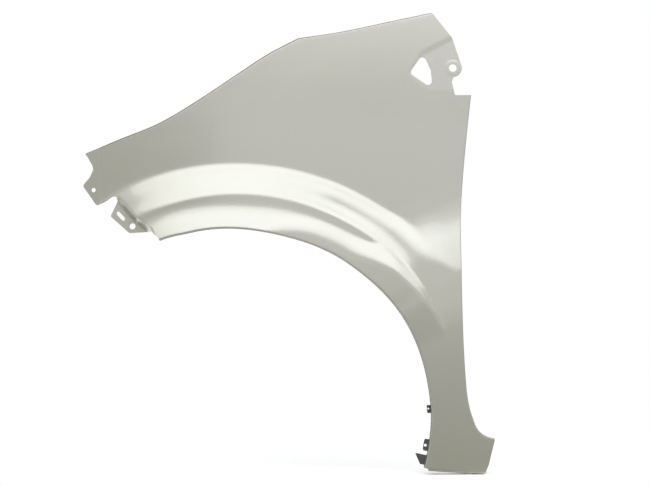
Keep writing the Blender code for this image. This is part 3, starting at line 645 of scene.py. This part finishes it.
def crease_lines():
    """Lines for the mesh to follow along every fold and step of the skin."""
    lines = beside(metres(LAMP_FOLD), LAMP_JOGGLE)
    lines += beside(metres(BUMPER_FOLD), BUMPER_JOGGLE)
    lines += beside(closed(RECESS_LOOP), RECESS_STEP, -1)
    for at in (-CREASE, 0, CREASE, EAR_STEP, EAR_STEP + CREASE):
        lines.append(closed(circle(metres(EAR_AT), EAR_PAD + at)))
    return lines


# Free points of the mesh


def hexes(step, low, high):
    """Points of an even triangular grid over a box."""
    xs = np.arange(low[0], high[0], step)
    zs = np.arange(low[1], high[1], step * ROW_SHARE)
    x, z = np.meshgrid(xs, zs)
    x[1::2] += step / 2
    return np.stack([x.ravel(), z.ravel()], axis=1)


def rings():
    """Points in rings over the bands of the wheel arch."""
    radii = np.arange(ARCH_RADIUS + RINGS_FROM, ARCH_RADIUS + RINGS_TO, BAND_STEP)
    turn = math.degrees(RING_STRETCH * BAND_STEP / ARCH_RADIUS)
    degs = np.arange(*RINGS_DEG, turn)
    radius, deg = np.meshgrid(radii, degs)
    deg[:, 1::2] += turn / 2
    return polar(radius.ravel(), deg.ravel())


def free_points(loop, holes, lines):
    """Rings over the arch, a fine grid close to the holes and creases, and a coarse grid everywhere else."""
    low, high = loop.min(axis=0), loop.max(axis=0)
    features = [closed(hole) for hole in holes] + lines
    chosen = []
    for points, gap, part in (
        (rings(), BAND_GAP, "arch"),
        (hexes(CLOSE_STEP, low, high), CLOSE_GAP, "close"),
        (hexes(FIELD_STEP, low, high), FIELD_GAP, "field"),
    ):
        points = points[inside(points, loop)]
        beyond = np.hypot(*points.T) - (ARCH_RADIUS + RINGS_TO)
        near = gap_to_any(points, features, 2 * CLOSE_TO)
        away = near > CLOSE_TO + gap / 2
        wanted = {"arch": away & (beyond < 0), "close": near < CLOSE_TO, "field": away & (beyond > gap / 2)}
        rim = nearest(points, closed(loop))[0]
        chosen.append(points[wanted[part] & (near > gap / 2) & (rim > gap)])
    return np.concatenate(chosen)


# The sheet


def draw_skin(bm, edges):
    """Triangles over the blank, lifted to the depth of the skin."""
    loop, holes, lines = outline(edges), pierced(), crease_lines()
    parts, links, count = [], [], 0
    runs = [(part, True) for part in (loop, *holes)] + [(line, False) for line in lines]
    for line, is_loop in runs:
        parts.append(line)
        links += [(count + k, count + k + 1) for k in range(len(line) - 1)]
        count += len(line)
        if is_loop:
            links.append((count - 1, count - len(line)))
    parts.append(free_points(loop, holes, lines))
    spread = [Vector(p) for p in np.concatenate(parts) / MM]
    places, _, faces, _, _, _ = delaunay_2d_cdt(spread, links, [], 0, MERGE_IN_MM)
    places = np.array([(p.x, p.y) for p in places]) * MM
    faces = np.array([face for face in faces if len(face) == 3])
    middles = places[faces].mean(axis=1)
    keep = inside(middles, loop)
    for hole in holes:
        keep &= ~inside(middles, hole)
    depths = depth(places)
    verts = {}
    for face in faces[keep].tolist():
        for k in face:
            if k not in verts:
                verts[k] = bm.verts.new((places[k][0], depths[k], places[k][1]))
        bm.faces.new([verts[k] for k in face])


def edge_verts(rim, line):
    """The mesh's own edge points along a line, in the order of its run."""
    points = np.array([(vert.co.x, vert.co.z) for vert in rim])
    gap, run = nearest(points, line)
    found = np.where(gap < SAME)[0]
    return [rim[k] for k in found[np.argsort(run[found])]]


def flat(verts):
    """Where mesh points lie in the design plane."""
    return np.array([(vert.co.x, vert.co.z) for vert in verts])


def edge_of(rim, line):
    """The edge points along a line, their normals, and the heading of the skin as it reaches them."""
    verts = edge_verts(rim, line)
    normals = outward(flat(verts))
    return verts, normals, slope_degs(flat(verts), normals)


def section(start_deg, moves):
    """A folded section, as (outward, inboard), from bends (radius, heading, sides) and runs (length,)."""
    out, inboard, heading = 0.0, 0.0, math.radians(start_deg)
    points = []
    for move in moves:
        if len(move) == 1:
            out += move[0] * math.cos(heading)
            inboard += move[0] * math.sin(heading)
            points.append((out, inboard))
            continue
        radius, target, sides = move
        turn = (math.radians(target) - heading) / sides
        radius = math.copysign(radius, turn)
        for _ in range(sides):
            out += radius * (math.sin(heading + turn) - math.sin(heading))
            inboard += radius * (math.cos(heading) - math.cos(heading + turn))
            heading += turn
            points.append((out, inboard))
    return points


def sweep(bm, verts, normals, sections, painted=0):
    """Strips of faces from a row of edge points, through a folded section for each; the first are painted,
    the rest take the dark primer as painted shade.
    """
    rows = [verts]
    for level in range(len(sections[0])):
        row = []
        for vert, normal, points in zip(verts, normals, sections):
            out, inboard = points[level]
            row.append(bm.verts.new(vert.co + Vector((normal[0] * out, inboard, normal[1] * out))))
        rows.append(row)
    for level, (row, after) in enumerate(zip(rows, rows[1:])):
        for a, b, c, d in zip(row, row[1:], after[1:], after):
            bm.faces.new((a, b, c, d)).material_index = 0 if level < painted else PRIMED_SHADE
    return rows


def end_fade(verts):
    """1 along a row of points, falling within a chamfer of either end."""
    run = np.concatenate([[0], np.cumsum([(b.co - a.co).length for a, b in zip(verts, verts[1:])])])
    share = np.minimum(run, run[-1] - run) / FLANGE_CHAMFER
    return np.clip(FLANGE_END + (1 - FLANGE_END) * share, 0, 1)


def tab_reach(share, end):
    """How far a tab reaches, 1 in its middle and rounded off to the end's share at its sides."""
    corner = np.clip((share - LUG_CORNER) / (1 - LUG_CORNER), 0, 1)
    return end + (1 - end) * np.sqrt(1 - corner**2)


def deg_of(vert):
    return math.degrees(math.atan2(vert.co.z, vert.co.x))


def x_of(vert):
    return vert.co.x


def z_of(vert):
    return vert.co.z


def fold_lip(bm, rim, line):
    """The return flange of the wheel arch, with the liner lugs and the sill bracket on its inner edge."""
    verts, normals, starts = edge_of(rim, line)
    moves = [(LIP_RADIUS, LIP_FLANGE_DEG, FOLD_SIDES), (LIP_FLANGE / 2,), (LIP_FLANGE / 2,)]
    rows = sweep(bm, verts, normals, [section(start, moves) for start in starts], LIP_PAINTED)
    degs = np.array([deg_of(vert) for vert in verts])
    for middle, half, reach, _ in (UPPER_LUG, LOWER_LUG):
        share = np.abs(degs - middle) / math.degrees(half / ARCH_RADIUS)
        fold_lug(bm, rows[-1], normals, np.where(share <= LUG_SPAN)[0], reach * tab_reach(share, LUG_END))
    low, top = SILL_BRACKET_DEG
    wide, narrow = SILL_BRACKET_REACH
    share = np.clip((degs - low) / (top - low), 0, 1)
    span = np.where((degs > low - DEG_SLACK) & (degs < top + DEG_SLACK))[0]
    fold_lug(bm, rows[-1], normals, span, narrow + (wide - narrow) * share, share)
    return rows


def fold_lug(bm, row, normals, span, reaches, tips=None):
    """A lug turned off the flange, parallel to the body side; a tip given for it is turned outboard."""
    sections = []
    for k in span:
        moves = [(LUG_RADIUS, 0, LUG_SIDES), (reaches[k],)]
        if tips is not None:
            moves += [(LUG_RADIUS, SILL_BRACKET_TIP_DEG, LUG_SIDES), (SILL_BRACKET_TIP * tips[k] + SHEET,)]
        sections.append(section(LIP_FLANGE_DEG, moves))
    sweep(bm, [row[k] for k in span], normals[span], sections)


def fold_bonnet(bm, rim, line):
    """The rolled bonnet edge, and behind it the wall and the bolt flange."""
    verts, normals, starts = edge_of(rim, line)
    radii = roll_radius(np.array([vert.co.x for vert in verts]))
    rolls = [section(start, [(radius, ROLL_DEG, ROLL_SIDES)]) for start, radius in zip(starts, radii)]
    crest = sweep(bm, verts, normals, rolls, ROLL_PAINTED)[-1]
    start, end = BONNET_FLANGE_X
    picked = [k for k, vert in enumerate(verts) if start - SAME < vert.co.x < end + SAME]
    crest = [crest[k] for k in picked]
    wall = [(CREST_RADIUS, BONNET_WALL_DEG, CREST_SIDES), (BONNET_WALL,), (CREST_RADIUS, 90, FOLD_SIDES)]
    sections = [section(ROLL_DEG, [*wall, (BONNET_FLANGE * fade,)]) for fade in end_fade(crest)]
    return sweep(bm, crest, normals[picked], sections)


def fold_in(bm, rim, line, radius, reach, deg=90):
    """An edge turned inboard into a flange that narrows at both ends."""
    verts, normals, starts = edge_of(rim, line)
    bend = (radius, deg, FOLD_SIDES)
    sections = [section(start, [bend, (reach * fade,)]) for start, fade in zip(starts, end_fade(verts))]
    return sweep(bm, verts, normals, sections, EDGE_PAINTED), normals


def fold_door(bm, rim, line):
    """The door edge turned inboard, with the bolt tab for the hinge pillar."""
    rows, normals = fold_in(bm, rim, line, DOOR_RADIUS, DOOR_FLANGE, DOOR_FLANGE_DEG)
    share = np.abs(flat(rows[0])[:, 1] - DOOR_TAB_Z) / (DOOR_TAB_LENGTH / 2)
    picked = np.where(share <= 1)[0]
    reaches = DOOR_TAB_REACH * tab_reach(share[picked], DOOR_TAB_END)
    sections = [section(DOOR_FLANGE_DEG, [(reach,)]) for reach in reaches]
    return sweep(bm, [rows[-1][k] for k in picked], normals[picked], sections)


def strip_place(inner, outer, measure, value, share=0.5):
    """A place on the strip between two rows, where a measure of its points has that value, and the normal."""
    for a, b, c, d in zip(inner, inner[1:], outer, outer[1:]):
        start, end = measure(a), measure(b)
        if min(start, end) <= value <= max(start, end) and start != end:
            t = (value - start) / (end - start)
            near = a.co.lerp(b.co, t)
            far = c.co.lerp(d.co, t)
            return near.lerp(far, share), (b.co - a.co).cross(far - near).normalized()
    raise ValueError("the strip does not reach that place")


def drill(cutter, place, normal, radius):
    """A round bar through a place, to cut a hole with."""
    turn = normal.to_track_quat("Z", "Y").to_matrix().to_4x4()
    turn.translation = place
    sizes = {"segments": HOLE_SIDES, "radius1": radius, "radius2": radius, "depth": DRILL_LENGTH}
    bmesh.ops.create_cone(cutter, cap_ends=True, matrix=turn, **sizes)


def drill_flanges(cutter, lip, bonnet, door_tab, foot):
    """The bolt holes of the bonnet and foot flanges and the door tab, and the holes for the liner."""
    for x in BONNET_HOLES_X:
        drill(cutter, *strip_place(bonnet[-2], bonnet[-1], x_of, x * MM, HOLE_SHARE), BONNET_HOLE)
    for x in FOOT_HOLES_X:
        drill(cutter, *strip_place(foot[-2], foot[-1], x_of, x * MM, HOLE_SHARE), FOOT_HOLE)
    drill(cutter, *strip_place(door_tab[0], door_tab[-1], z_of, DOOR_TAB_Z), DOOR_HOLE)
    for deg in LINER_HOLES_DEG:
        drill(cutter, *strip_place(lip[-3], lip[-1], deg_of, deg), LINER_HOLE)
    for middle, _, reach, hole in (UPPER_LUG, LOWER_LUG):
        place, _ = strip_place(lip[-2], lip[-1], deg_of, middle, 1)
        place.x -= LUG_RADIUS + reach / 2
        drill(cutter, place, Vector((0, 1, 0)), hole)


def make_object(name, bm):
    mesh = bpy.data.meshes.new(name)
    bm.to_mesh(mesh)
    bm.free()
    made = bpy.data.objects.new(name, mesh)
    bpy.context.scene.collection.objects.link(made)
    return made


def thicken(panel, tool):
    """The sheet given its thickness inboard and drilled, as a plain mesh with smooth faces."""
    wall = panel.modifiers.new("sheet", "SOLIDIFY")
    wall.thickness = SHEET
    wall.offset = -1
    wall.use_even_offset = True
    wall.material_offset = 1
    wall.material_offset_rim = 2
    holes = panel.modifiers.new("bolt_holes", "BOOLEAN")
    holes.operation = "DIFFERENCE"
    holes.solver = "EXACT"
    holes.object = tool
    seen = panel.evaluated_get(bpy.context.evaluated_depsgraph_get())
    mesh = bpy.data.meshes.new_from_object(seen)
    panel.modifiers.clear()
    panel.data = mesh
    mesh.shade_smooth()
    mesh.set_sharp_from_angle(angle=math.radians(SHARP_DEG))


def make_panel(materials):
    """The whole panel as one folded and pierced sheet, with its materials in their order."""
    edges = edge_lines()
    sheet, cutter = bmesh.new(), bmesh.new()
    draw_skin(sheet, edges)
    rim = [vert for vert in sheet.verts if vert.is_boundary]
    lip = fold_lip(sheet, rim, edges["lip"])
    bonnet = fold_bonnet(sheet, rim, edges["bonnet"])
    door_tab = fold_door(sheet, rim, edges["door"])
    fold_in(sheet, rim, edges["back"], DOOR_RADIUS, FOOT_BACK_FLANGE)
    foot, _ = fold_in(sheet, rim, edges["bottom"], FOOT_RADIUS, FOOT_FLANGE)
    drill_flanges(cutter, lip, bonnet, door_tab, foot)
    bmesh.ops.recalc_face_normals(sheet, faces=sheet.faces)
    if sum(face.normal.y * face.calc_area() for face in sheet.faces) > 0:
        bmesh.ops.reverse_faces(sheet, faces=sheet.faces)
    for bm in (sheet, cutter):
        bmesh.ops.translate(bm, verts=bm.verts, vec=-ORIGIN)
    panel = make_object("fender_skin", sheet)
    for material in materials:
        panel.data.materials.append(material)
    tool = make_object("hole_cutter", cutter)
    thicken(panel, tool)
    bpy.data.objects.remove(tool)
    return panel


# Materials


def add(tree, kind, inputs=(), **settings):
    """A shader node with its settings, its inputs given as numbers or as other nodes' outputs."""
    made = tree.nodes.new("ShaderNode" + kind)
    for name, value in settings.items():
        setattr(made, name, value)
    for name, value in dict(inputs).items():
        if isinstance(value, bpy.types.NodeSocket):
            tree.links.new(value, made.inputs[name])
        else:
            made.inputs[name].default_value = value
    return made.outputs


def combined(tree, operation, first, second):
    return add(tree, "Math", {0: first, 1: second}, operation=operation)["Value"]


def grade(tree, value, start, end, low, high, kind="LINEAR"):
    """A value carried from one range to another, and held at its ends."""
    limits = {"Value": value, "From Min": start, "From Max": end, "To Min": low, "To Max": high}
    return add(tree, "MapRange", limits, interpolation_type=kind)["Result"]


def noise(tree, coords, scale, detail, low, high, stretch=(1, 1, 1)):
    """Noise over the object, brought to the range from low to high."""
    place = add(tree, "Mapping", {"Vector": coords, "Scale": stretch})["Vector"]
    inputs = {"Vector": place, "Scale": scale, "Detail": detail, "Roughness": NOISE_ROUGHNESS}
    return grade(tree, add(tree, "TexNoise", inputs)["Fac"], *NOISE_SPAN, low, high)


def mixed(tree, share, first, second, blend="MIX"):
    return add(tree, "MixRGB", {"Fac": share, "Color1": first, "Color2": second}, blend_type=blend)["Color"]


def bumped(tree, height, strength, distance):
    return add(tree, "Bump", {"Height": height, "Strength": strength, "Distance": distance})["Normal"]


def new_material(name):
    material = bpy.data.materials.new(name)
    material.use_nodes = True
    tree = material.node_tree
    return material, tree, tree.nodes["Principled BSDF"], add(tree, "TexCoord")["Object"]


def wire(tree, shader, **links):
    """Node outputs joined to the shader's sockets; an underscore stands for a space."""
    for name, value in links.items():
        tree.links.new(value, shader.inputs[name.replace("_", " ")])


def settle(shader, **values):
    """Numbers and colours set on the shader's own sockets."""
    for name, value in values.items():
        shader.inputs[name.replace("_", " ")].default_value = value


def silver_paint():
    """Silver metallic paint under clear coat: fine flake, slight orange peel, and dust with painted shade
    towards the foot and the front.
    """
    material, tree, shader, coords = new_material("silver_paint")
    place = add(tree, "SeparateXYZ", {"Vector": coords})
    # Darker and yellower towards the foot and the front: painted shade of the lower and front parts, broken
    # up by dust patches
    low = grade(tree, place["Z"], *DUST_AND_SHADE_Z, 0, DUST_AND_SHADE_AT_FOOT)
    ahead = grade(tree, place["X"], *DUST_AND_SHADE_X, 0, DUST_AND_SHADE_IN_FRONT)
    patches = noise(tree, coords, *DUST_AND_SHADE_PATCHES)
    dust_and_shade = combined(tree, "MULTIPLY", combined(tree, "MAXIMUM", low, ahead), patches)
    clean = mixed(tree, noise(tree, coords, *HUE), PAINT_COOL, PAINT_WARM)
    dusty_and_shaded = mixed(tree, dust_and_shade, clean, PAINT_DUSTY_AND_SHADED)
    flake = mixed(tree, noise(tree, coords, *FLAKE), FLAKE_DARK, FLAKE_BRIGHT)
    colour = mixed(tree, 1.0, dusty_and_shaded, flake, "MULTIPLY")
    wiped = noise(tree, coords, *WIPES, WIPE_STRETCH)
    bump = bumped(tree, noise(tree, coords, *PEEL), *PEEL_BUMP)
    wire(tree, shader, Base_Color=colour, Roughness=wiped, Normal=bump, Coat_Normal=bump)
    settle(shader, Metallic=PAINT_METALLIC, Coat_Weight=1.0, Coat_Roughness=COAT_ROUGHNESS)
    return material


def primer_and_shade():
    """Dark dip primer with a dry, speckled veil of the silver blown over it; on the outside of the folds it
    is painted shade.
    """
    material, tree, shader, coords = new_material("lining_and_shade")
    base = mixed(tree, noise(tree, coords, *DIP), PRIMER_AND_SHADE_DARK, PRIMER_AND_SHADE_LIGHT)
    share = combined(tree, "MULTIPLY", noise(tree, coords, *VEIL), noise(tree, coords, *SPECKS))
    colour = mixed(tree, share, base, PAINT_WARM)
    bump = bumped(tree, noise(tree, coords, *GRAIN), *GRAIN_BUMP)
    wire(tree, shader, Base_Color=colour, Roughness=noise(tree, coords, *DRYNESS), Normal=bump)
    return material


def cut_steel():
    """The trimmed edge of the sheet: steel with thin primer."""
    material, tree, shader, coords = new_material("cut_edge")
    colour = mixed(tree, noise(tree, coords, *STEEL_SPOTS), STEEL_DARK, STEEL_LIGHT)
    wire(tree, shader, Base_Color=colour, Roughness=noise(tree, coords, *STEEL_ROUGHNESS))
    settle(shader, Metallic=STEEL_METALLIC)
    return material


# Stage


def make_floor():
    """A sheet of white paper under the panel and behind it."""
    bm = bmesh.new()
    front, back = FLOOR_Y
    corners = ((FLOOR_HALF, front), (FLOOR_HALF, back), (-FLOOR_HALF, back), (-FLOOR_HALF, front))
    bm.faces.new([bm.verts.new((x, y, cad_box[0].z)) for x, y in corners])
    ground = make_object("floor", bm)
    material, tree, shader, coords = new_material("floor_white")
    wire(tree, shader, Base_Color=mixed(tree, noise(tree, coords, *PAPER), PAPER_DARK, PAPER_LIGHT))
    settle(shader, Roughness=PAPER_ROUGHNESS, Specular_IOR_Level=PAPER_SPECULAR)
    settle(shader, Emission_Color=WHITE, Emission_Strength=FLOOR_GLOW)
    ground.data.materials.append(material)


def make_world():
    """White all round, somewhat dimmer on the side of the camera and towards the ground."""
    world = bpy.data.worlds.new("studio")
    world.use_nodes = True
    tree = world.node_tree
    axes = add(tree, "SeparateXYZ", {"Vector": add(tree, "TexCoord")["Generated"]})
    side = grade(tree, axes["Y"], *WORLD_Y, WORLD_FRONT, 1, "SMOOTHSTEP")
    ground = grade(tree, axes["Z"], *WORLD_Z, WORLD_LOW, 1, "SMOOTHSTEP")
    behind = grade(tree, axes["Y"], 0, WORLD_Y[1], 0, 1, "SMOOTHSTEP")
    level = combined(tree, "MAXIMUM", combined(tree, "MULTIPLY", side, ground), behind)
    sky = tree.nodes["Background"]
    sky.inputs["Color"].default_value = WHITE
    tree.links.new(level, sky.inputs["Strength"])
    bpy.context.scene.world = world


def make_lamp(name, place, aim, size, power, colour):
    """An area lamp that lights the panel and doesn't show itself."""
    light = bpy.data.lights.new(name, "AREA")
    light.shape = "RECTANGLE"
    light.size, light.size_y = size
    light.energy = power
    light.color = colour
    lamp = bpy.data.objects.new(name, light)
    lamp.location = place
    lamp.rotation_euler = (Vector(aim) - Vector(place)).to_track_quat("-Z", "Y").to_euler()
    lamp.visible_camera = False
    bpy.context.scene.collection.objects.link(lamp)


def make_camera():
    """A long lens, square on to the side of the car."""
    camera = bpy.data.cameras.new("camera")
    camera.lens = CAMERA_LENS
    camera.sensor_width = CAMERA_SENSOR
    camera.clip_end = CAMERA_SEES_TO
    made = bpy.data.objects.new("camera", camera)
    made.location = CAMERA_PLACE - ORIGIN
    made.rotation_euler = (math.radians(90), 0, 0)
    bpy.context.scene.collection.objects.link(made)
    bpy.context.scene.camera = made


paint = silver_paint()
lining_and_shade = primer_and_shade()
cut = cut_steel()
# Materials by index: paint, its inside, its cut rim, then on the folds past the paint the primer as painted
# shade, its inside, and its rim
panel = make_panel([paint, lining_and_shade, cut, lining_and_shade, lining_and_shade, cut])
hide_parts("fender_panel")
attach(panel, "root")
make_floor()
make_world()
for lamp in LAMPS:
    make_lamp(*lamp)
make_camera()
bpy.context.scene.view_settings.view_transform = "Standard"
